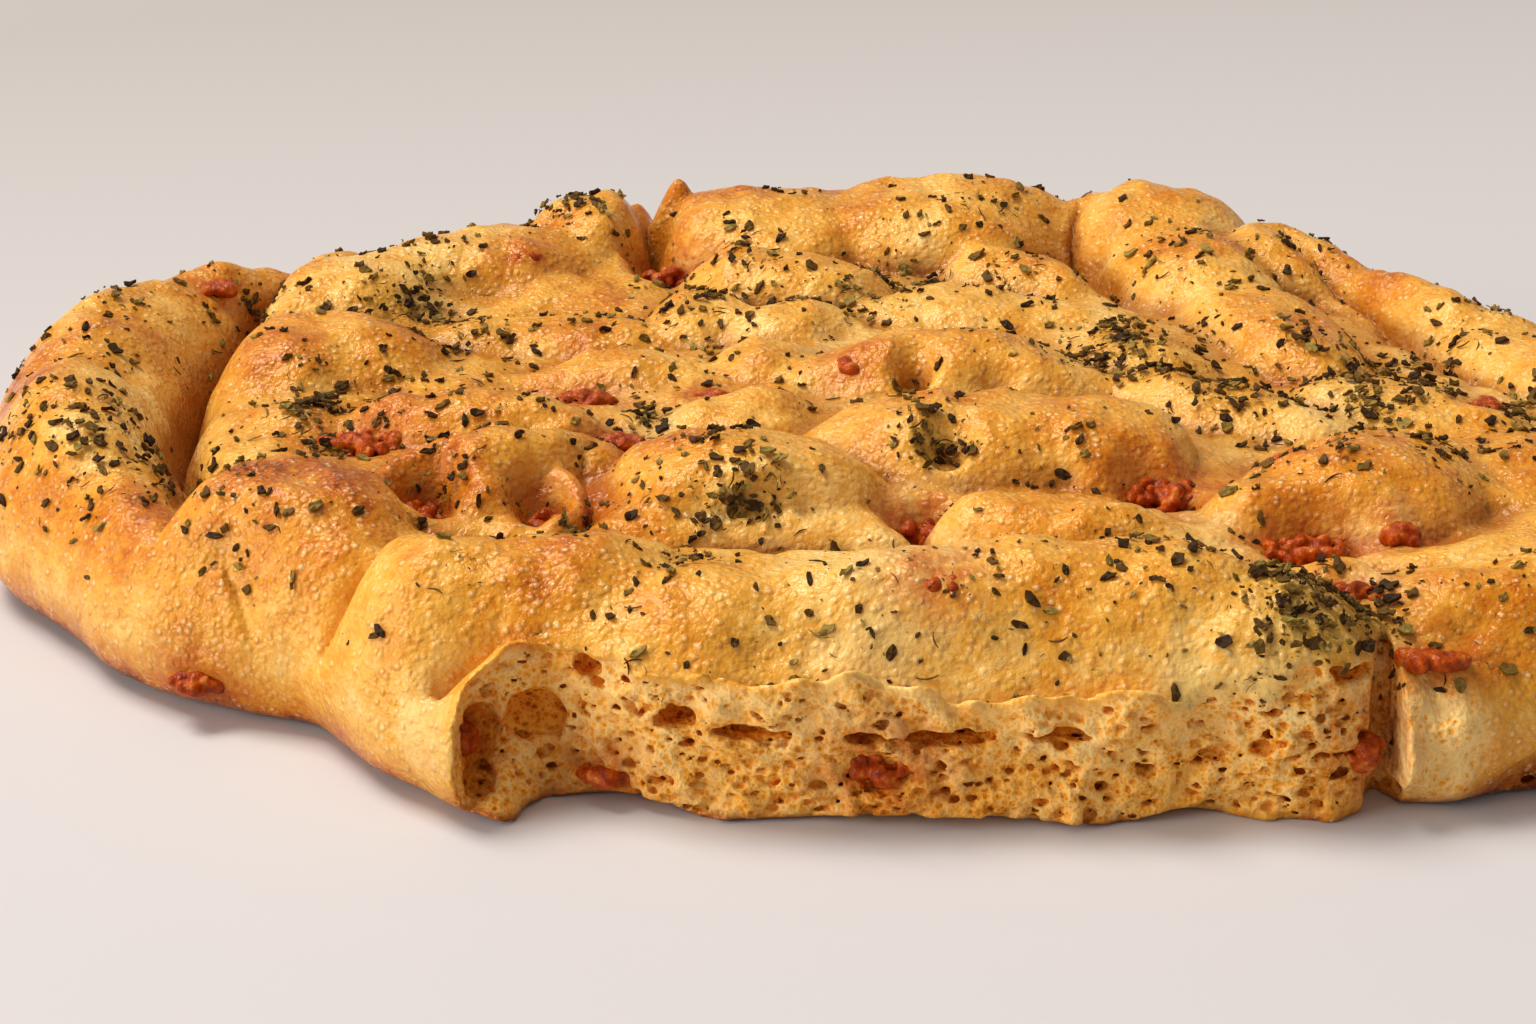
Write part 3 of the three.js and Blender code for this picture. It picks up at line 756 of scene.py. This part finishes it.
milky = add(tree, "ShaderNodeMath", {0: crumb_at, 1: -0.25, 2: 0.3}, operation="MULTIPLY_ADD")
oiled = add(tree, "ShaderNodeMath", {0: crumb_at, 1: -0.2, 2: 0.3}, operation="MULTIPLY_ADD")
shader = add(tree, "ShaderNodeBsdfPrincipled", {
    "Base Color": colour, "Roughness": dulled, "Normal": surface,
    "Subsurface Weight": milky, "Subsurface Radius": (1.0, 0.6, 0.2), "Subsurface Scale": 0.0025,
    "Specular IOR Level": 0.25, "Specular Tint": "#FFCC90",
    "Coat Weight": oiled, "Coat Roughness": 0.13, "Coat Normal": surface,
}, subsurface_method="RANDOM_WALK")
add(tree, "ShaderNodeOutputMaterial", {"Surface": shader})
thinned.materials.clear()
thinned.materials.append(dough)
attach(loaf, "root")
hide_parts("loaf")


# ---- Tomato pieces ---------------------------------------
# Soft red pieces of tomato pressed into the dough before it was baked: clusters of wet, glossy
# lumps of pulp, each half sunk in the pocket that the dough made round it.
TOMATO_GRID = 0.34  # fine enough for the smallest lumps of pulp
CORE = 0.45  # the share of a piece's size that is solid flesh
PULP_LUMPS = 60
LUMP_RADII = (0.6, 1.3)
LUMP_FILLET = 0.35
PULP_GRAIN = 1.7
PULP_ROUGHNESS = 0.4
TOMATO_SUNK = 0.22  # the share of its height that the pulp sank as it baked

# Baked tomato pulp: brick red with orange lights in it, wet enough to shine on every lump.
tomato, tree = empty_material("baked_tomato_pulp")
place = add(tree, "ShaderNodeTexCoord", out="Object")
flecks, wrinkles = (
    add(tree, "ShaderNodeTexNoise", {
        "Vector": place, "Scale": PER_METRE / size, "Detail": 3, "Roughness": 0.55})
    for size in (1.8, 0.7)
)
red = add(tree, "ShaderNodeValToRGB", {"Fac": flecks}, stops=[
    (0.26, "#661800"), (0.42, "#943202"), (0.58, "#B44A06"), (0.76, "#D68E3C"),
])
wrinkled = add(tree, "ShaderNodeBump", {"Height": wrinkles, "Strength": 0.6, "Distance": 0.0006})
shader = add(tree, "ShaderNodeBsdfPrincipled", {
    "Base Color": red, "Roughness": 0.3, "Normal": wrinkled,
    "Subsurface Weight": 0.12, "Subsurface Radius": (1.0, 0.3, 0.1), "Subsurface Scale": 0.0015,
    "Specular IOR Level": 0.2, "Specular Tint": "#FFA060",
    "Coat Weight": 0.25, "Coat Roughness": 0.08, "Coat Normal": wrinkled,
})
add(tree, "ShaderNodeOutputMaterial", {"Surface": shader})

for number, node in enumerate(sorted(n for n in frame["nodes"] if n.startswith("tomato_piece_"))):
    low, high = (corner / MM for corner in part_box(node))
    middle, half = np.array((low + high) / 2), np.array((high - low) / 2)
    middle[2] -= half[2] * TOMATO_SUNK
    half[2] *= 1 - TOMATO_SUNK
    half -= PULP_ROUGHNESS
    rng = np.random.default_rng(100 + number)
    axes = [np.arange(m - h - 1, m + h + 1, TOMATO_GRID, dtype=np.float32)
            for m, h in zip(middle, half)]
    pulp = np.sqrt(sum(
        ((a - m) / h).reshape([-1 if d == i else 1 for i in range(3)]) ** 2
        for d, (a, m, h) in enumerate(zip(axes, middle, half))
    )) - CORE
    pulp = (pulp * half.min()).astype(np.float32)
    for _ in range(PULP_LUMPS):
        radius = rng.uniform(*LUMP_RADII)
        at = rng.normal(size=3)
        at *= rng.uniform(0.3, 1) ** 0.5 / np.linalg.norm(at)
        at = middle + at * np.maximum(half - radius, 0)
        lump = np.sqrt(sum(
            (a - c).reshape([-1 if d == i else 1 for i in range(3)]) ** 2
            for d, (a, c) in enumerate(zip(axes, at))
        )) - radius
        pulp = smooth_join(pulp, lump, LUMP_FILLET)
    pulp += PULP_ROUGHNESS * noise(axes, PULP_GRAIN, 200 + number)
    v, q = biggest_part(*surface_nets(pulp, axes))
    piece = mesh_object(f"tomato_pulp_{number + 1:02d}", v * MM, q)
    piece.data.shade_smooth()
    piece.data.materials.append(tomato)
    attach(piece, "root")
    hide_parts(node)


# ---- Dried herbs -----------------------------------------
# Crumbled dried herbs, thyme and oregano, strewn over the oiled dough: flat curled flakes, specks
# and a few stalks, thick in some heaps and sparse between them. They baked on and turned dark.
HERB_HEAPS = [  # x, y, radius, flakes on a square millimetre
    # thick heaps in the pits and folds
    (-89, -20, 4.5, 0.4), (-86, -33, 4.5, 0.45), (-68, -48, 4.5, 0.35), (-17, -56, 6, 0.5),
    (-26, -60, 4, 0.25), (-27, -87, 4.5, 0.5), (57, -99, 8, 0.4), (64, -93, 5, 0.2),
    (11, -38, 3.5, 0.3), (17, -40, 2.5, 0.16), (70, -42, 3.5, 0.35), (38, -44, 3, 0.2),
    (49, -48, 3, 0.3), (-36, -17, 5, 0.2), (9, -9, 3, 0.12), (-48, -6, 5, 0.16),
    # thinner strewing
    (-78, -44, 6, 0.08), (-56, -44, 7, 0.06), (48, -102, 8, 0.08), (30, -92, 14, 0.03),
    (61, -56, 5, 0.07), (-79, 38, 7, 0.2), (-70, 24, 6, 0.16), (-25, 36, 8, 0.12),
    (-14, 50, 9, 0.16), (9, 44, 9, 0.12), (24, 52, 7, 0.16), (38, 58, 7, 0.18),
    (58, 22, 9, 0.16), (68, 10, 11, 0.14), (78, -16, 12, 0.2), (60, -12, 11, 0.2),
    (92, -4, 9, 0.18), (40, -2, 6, 0.14), (86, -28, 10, 0.1), (75, -93, 6, 0.14),
    (36, 34, 10, 0.14), (50, 8, 9, 0.16), (-131, -18, 10, 0.08), (-120, -34, 8, 0.07),
    (-114, -52, 6, 0.04), (-137, 10, 8, 0.07), (-126, 26, 10, 0.07), (-84, 58, 6, 0.1),
    (-13, 94, 5, 0.12), (-99, -26, 8, 0.16), (-100, -48, 7, 0.12), (96, 24, 12, 0.08),
    (112, 20, 10, 0.08), (118, -12, 10, 0.08), (20, 74, 10, 0.06), (-56, 76, 8, 0.08),
    (84, 52, 10, 0.08),
]
HERB_SOFTNESS = 0.26  # how gently a heap thins out
HERBS_EVERYWHERE = 0.05
HERB_PATCHINESS = 0.6
HERB_PLENTY = 1.9
HERB_LEVELS = (15, 23)  # no herbs below the first height, and all of them above the second
HERB_SEED = 7
SMALLEST_FLAKE = 0.35
LARGEST_FLAKE = 3.3
FLAKE_TILT = 14  # degrees
HEAP_HEIGHT = 0.9
# The shapes of the flakes, as shares of a flake's length.
FLAKE_KINDS = 12
FLAKE_SIDES = 9
FLAKE_THICKNESS = 0.16
FLAKE_WIDTH = (0.32, 0.75)
FLAKE_CURL = (-0.5, 0.9)
FLAKE_CRINKLE = 0.12
STALK_KINDS = 2
STALK_STRETCHES = 4
STALK_THICKNESS = 0.05
STALK_BEND = (0.2, 0.5)

herb_flakes = np.zeros(flat_x.shape)
for x, y, radius, many in HERB_HEAPS:
    herb_flakes += many / (1 + np.exp(
        (np.hypot(plan_x - x, plan_y - y) - radius) / (radius * HERB_SOFTNESS)))
patchy = np.clip(0.5 + 1.1 * noise(plan, 9, 50) + 0.5 * noise(plan, 4, 51), 0.02, 2)
strewn = herb_flakes * (1 - HERB_PATCHINESS + HERB_PATCHINESS * patchy) + HERBS_EVERYWHERE * patchy
low, high = HERB_LEVELS
on_top = np.clip((places[:, 2] - low) / (high - low), 0, 1) * (crumb < CRUST_THICKNESS)
note(thinned, "herbs", HERB_PLENTY * sample(strewn, plan, places) * on_top)

rng = np.random.default_rng(52)
flakes = bpy.data.collections.new("herb_flakes")
for kind in range(FLAKE_KINDS + STALK_KINDS):
    shape = bmesh.new()
    if kind < FLAKE_KINDS:
        slim = rng.uniform(*FLAKE_WIDTH)
        curl = rng.uniform(*FLAKE_CURL)
        angles = np.linspace(0, math.tau, FLAKE_SIDES, endpoint=False)
        reach = rng.uniform(rng.uniform(0.4, 0.8), 1.1, FLAKE_SIDES) / 2
        rim = [(r * math.cos(a), slim * r * math.sin(a)) for a, r in zip(angles, reach)]
        crinkle = rng.uniform(-FLAKE_CRINKLE, FLAKE_CRINKLE, FLAKE_SIDES)
        rings = []
        for lift in (FLAKE_THICKNESS, 0):
            rings.append([shape.verts.new((x, y, curl * (x * x + y * y) + c + lift))
                          for (x, y), c in zip(rim, crinkle)])
            rings.append(shape.verts.new((0, 0, lift)))
        upper, peak, lower, pit = rings
        for i in range(FLAKE_SIDES):
            j = (i + 1) % FLAKE_SIDES
            shape.faces.new((peak, upper[i], upper[j]))
            shape.faces.new((pit, lower[j], lower[i]))
            shape.faces.new((upper[i], lower[i], lower[j], upper[j]))
    else:
        bend = rng.uniform(*STALK_BEND)
        rings = []
        for t in np.linspace(-0.5, 0.5, STALK_STRETCHES + 1):
            thick = STALK_THICKNESS * (1.2 - abs(t))
            rings.append([
                shape.verts.new((t, bend * t * t + thick * u, thick * (1 + v)))
                for u, v in ((1, 0), (0, 1), (-1, 0), (0, -1))
            ])
        for a, b in zip(rings, rings[1:]):
            for i in range(4):
                j = (i + 1) % 4
                shape.faces.new((a[i], a[j], b[j], b[i]))
        shape.faces.new(rings[0][::-1])
        shape.faces.new(rings[-1])
    bmesh.ops.recalc_face_normals(shape, faces=shape.faces)
    shape.transform(Matrix.Scale(MM, 4))
    mesh = bpy.data.meshes.new(f"flake_{kind}")
    shape.to_mesh(mesh)
    shape.free()
    flakes.objects.link(bpy.data.objects.new(f"flake_{kind}", mesh))

# Dried leaf: matt, from brown-green to nearly black, with fine veins that break up its light.
herb, tree = empty_material("dried_thyme_and_oregano")
place = add(tree, "ShaderNodeTexCoord", out="Object")
leaf_at = add(tree, "ShaderNodeAttribute", out="Fac", attribute_name="leaf")
blotches, veins = (
    add(tree, "ShaderNodeTexNoise", {
        "Vector": place, "Scale": PER_METRE / size, "Detail": 2, "Roughness": 0.55})
    for size in (0.5, 0.3)
)
tone = add(tree, "ShaderNodeMath", {0: blotches, 1: 0.5, 2: leaf_at}, operation="MULTIPLY_ADD")
tone = add(tree, "ShaderNodeMath", {0: tone, 1: 0.25}, operation="SUBTRACT")
green = add(tree, "ShaderNodeValToRGB", {"Fac": tone}, stops=[
    (0.0, "#2C1804"), (0.35, "#452D09"), (0.6, "#5D4112"), (0.82, "#765B1E"), (1.0, "#98803C"),
])
veined = add(tree, "ShaderNodeBump", {"Height": veins, "Strength": 0.5, "Distance": 0.0002})
shader = add(tree, "ShaderNodeBsdfPrincipled", {
    "Base Color": green, "Roughness": 0.6, "Normal": veined, "Specular IOR Level": 0.15})
add(tree, "ShaderNodeOutputMaterial", {"Surface": shader})

strew = bpy.data.node_groups.new("strewn_herbs", "GeometryNodeTree")
strew.interface.new_socket("Loaf", in_out="INPUT", socket_type="NodeSocketGeometry")
for name, kind in [
    ("Flakes", "Collection"), ("Density", "Float"), ("Smallest", "Float"), ("Largest", "Float"),
    ("Tilt", "Float"), ("Heap Height", "Float"), ("Seed", "Int"), ("Material", "Material"),
]:
    strew.interface.new_socket(name, in_out="INPUT", socket_type=f"NodeSocket{kind}")
strew.interface.new_socket("Herbs", in_out="OUTPUT", socket_type="NodeSocketGeometry")
given = add(strew, "NodeGroupInput").node.outputs
wanted = add(strew, "GeometryNodeInputNamedAttribute", {"Name": "herbs"}, data_type="FLOAT")
density = add(strew, "ShaderNodeMath", {0: wanted, 1: given["Density"]}, operation="MULTIPLY")
points = add(strew, "GeometryNodeDistributePointsOnFaces", {
    "Mesh": given["Loaf"], "Density": density, "Seed": given["Seed"]}).node.outputs
least_tilt = add(strew, "ShaderNodeMath", {0: given["Tilt"], 1: -1.0}, operation="MULTIPLY")
# A random number for each flake and each use, with a seed of its own.
chance = {}
for offset, (use, low, high) in enumerate([
    ("size", 0.0, 1.0), ("lift", 0.0, 1.0), ("tilt_x", least_tilt, given["Tilt"]),
    ("tilt_y", least_tilt, given["Tilt"]), ("spin", 0.0, math.tau), ("leaf", 0.0, 1.0),
], 1):
    seed = add(strew, "ShaderNodeMath", {0: given["Seed"], 1: offset}, operation="ADD")
    chance[use] = add(strew, "FunctionNodeRandomValue", {2: low, 3: high, "Seed": seed}, out=1)

small_ones = add(strew, "ShaderNodeMath", {0: chance["size"], 1: 2.3}, operation="POWER")
spread = add(strew, "ShaderNodeMath",
             {0: given["Largest"], 1: given["Smallest"]}, operation="SUBTRACT")
size = add(strew, "ShaderNodeMath",
           {0: spread, 1: small_ones, 2: given["Smallest"]}, operation="MULTIPLY_ADD")
crowd = add(strew, "ShaderNodeMath", {0: wanted, 1: 3.0}, operation="MULTIPLY")
crowd = add(strew, "ShaderNodeMath", {0: crowd, 1: 1.0}, operation="MINIMUM")
lift = add(strew, "ShaderNodeMath", {0: chance["lift"], 1: crowd}, operation="MULTIPLY")
lift = add(strew, "ShaderNodeMath", {0: lift, 1: given["Heap Height"]}, operation="MULTIPLY")
raised = add(strew, "ShaderNodeVectorMath",
             {0: points["Normal"], "Scale": lift}, operation="SCALE")
heaped = add(strew, "GeometryNodeSetPosition", {"Geometry": points["Points"], "Offset": raised})
turn = add(strew, "ShaderNodeCombineXYZ", {
    "X": chance["tilt_x"], "Y": chance["tilt_y"], "Z": chance["spin"]})
facing = add(strew, "FunctionNodeRotateRotation",
             {"Rotation": points["Rotation"], "Rotate By": turn}, rotation_space="LOCAL")
choice = add(strew, "GeometryNodeCollectionInfo", {
    "Collection": given["Flakes"], "Separate Children": True, "Reset Children": True})
laid = add(strew, "GeometryNodeInstanceOnPoints", {
    "Points": heaped, "Instance": choice, "Pick Instance": True,
    "Rotation": facing, "Scale": size})
tinted = add(strew, "GeometryNodeStoreNamedAttribute", {
    "Geometry": laid, "Name": "leaf", "Value": chance["leaf"]},
    data_type="FLOAT", domain="INSTANCE")
real = add(strew, "GeometryNodeRealizeInstances", {"Geometry": tinted})
dressed = add(strew, "GeometryNodeSetMaterial", {"Geometry": real, "Material": given["Material"]})
add(strew, "NodeGroupOutput", {"Herbs": dressed})

scatter = loaf.modifiers.new("strewn_herbs", "NODES")
scatter.node_group = strew
socket = {item.name: item.identifier for item in strew.interface.items_tree}
for name, value in {
    "Flakes": flakes, "Density": 1 / MM**2, "Smallest": SMALLEST_FLAKE, "Largest": LARGEST_FLAKE,
    "Tilt": math.radians(FLAKE_TILT), "Heap Height": HEAP_HEIGHT * MM, "Seed": HERB_SEED,
    "Material": herb,
}.items():
    scatter[socket[name]] = value
graph = bpy.context.evaluated_depsgraph_get()
strewn_mesh = bpy.data.meshes.new_from_object(loaf.evaluated_get(graph))
loaf.modifiers.remove(scatter)
herbs = bpy.data.objects.new("dried_herbs", strewn_mesh)
scene.collection.objects.link(herbs)
for kind in list(flakes.objects):
    bpy.data.objects.remove(kind)
bpy.data.collections.remove(flakes)
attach(herbs, "root")


# ---- Table and light -------------------------------------
# A smooth white table top that the loaf lies on, in a pale room. Daylight falls from a tall window
# behind on the left, and a softer light comes back from a wall at the left front.
TABLE_REACH = 4  # metres each way
DAYLIGHT = "#FFF9F1"
ROOM_COLOUR = "#FFF9F3"
ROOM_STRENGTH = 0.32
# Each lamp's place and width in metres, and its watts. Both point at the middle of the loaf.
LAMPS = {"window": ((-1.55, 0.85, 3.2), 1.6, 132), "fill": ((-2.2, -0.8, 0.7), 1.4, 38)}

floor_mesh = bpy.data.meshes.new("table")
floor_mesh.from_pydata(
    [(x * TABLE_REACH, y * TABLE_REACH, 0) for x, y in ((-1, -1), (1, -1), (1, 1), (-1, 1))],
    [], [(0, 1, 2, 3)])
floor = bpy.data.objects.new("table", floor_mesh)
scene.collection.objects.link(floor)

# Satin white lacquer: nearly matt, with painted shade that makes it a little greyer towards the far
# end of the table, where the light falls off.
white, tree = empty_material("white_table_lacquer")
place = add(tree, "ShaderNodeTexCoord", out="Object")
far = add(tree, "ShaderNodeVectorMath",
          {0: place, 1: (-0.5, 1, 0)}, out="Value", operation="DOT_PRODUCT")
shaded = add(tree, "ShaderNodeValToRGB", {"Fac": far}, stops=[(0.0, "#CDCACC"), (0.5, "#B4AFAD")])
shader = add(tree, "ShaderNodeBsdfPrincipled", {
    "Base Color": shaded, "Roughness": 0.7, "Specular IOR Level": 0.2})
add(tree, "ShaderNodeOutputMaterial", {"Surface": shader})
floor_mesh.materials.append(white)

world = bpy.data.worlds.new("soft_room")
scene.world = world
world.use_nodes = True
room = world.node_tree.nodes["Background"].inputs
room["Color"].default_value = linear(ROOM_COLOUR)
room["Strength"].default_value = ROOM_STRENGTH

for name, (place, size, power) in LAMPS.items():
    light = bpy.data.lights.new(name, "AREA")
    light.size = size
    light.energy = power
    light.color = linear(DAYLIGHT)[:3]
    lamp = bpy.data.objects.new(name, light)
    lamp.location = place
    lamp.rotation_euler = (-Vector(place)).to_track_quat("-Z", "Y").to_euler()
    scene.collection.objects.link(lamp)
scene.view_settings.view_transform = "Standard"
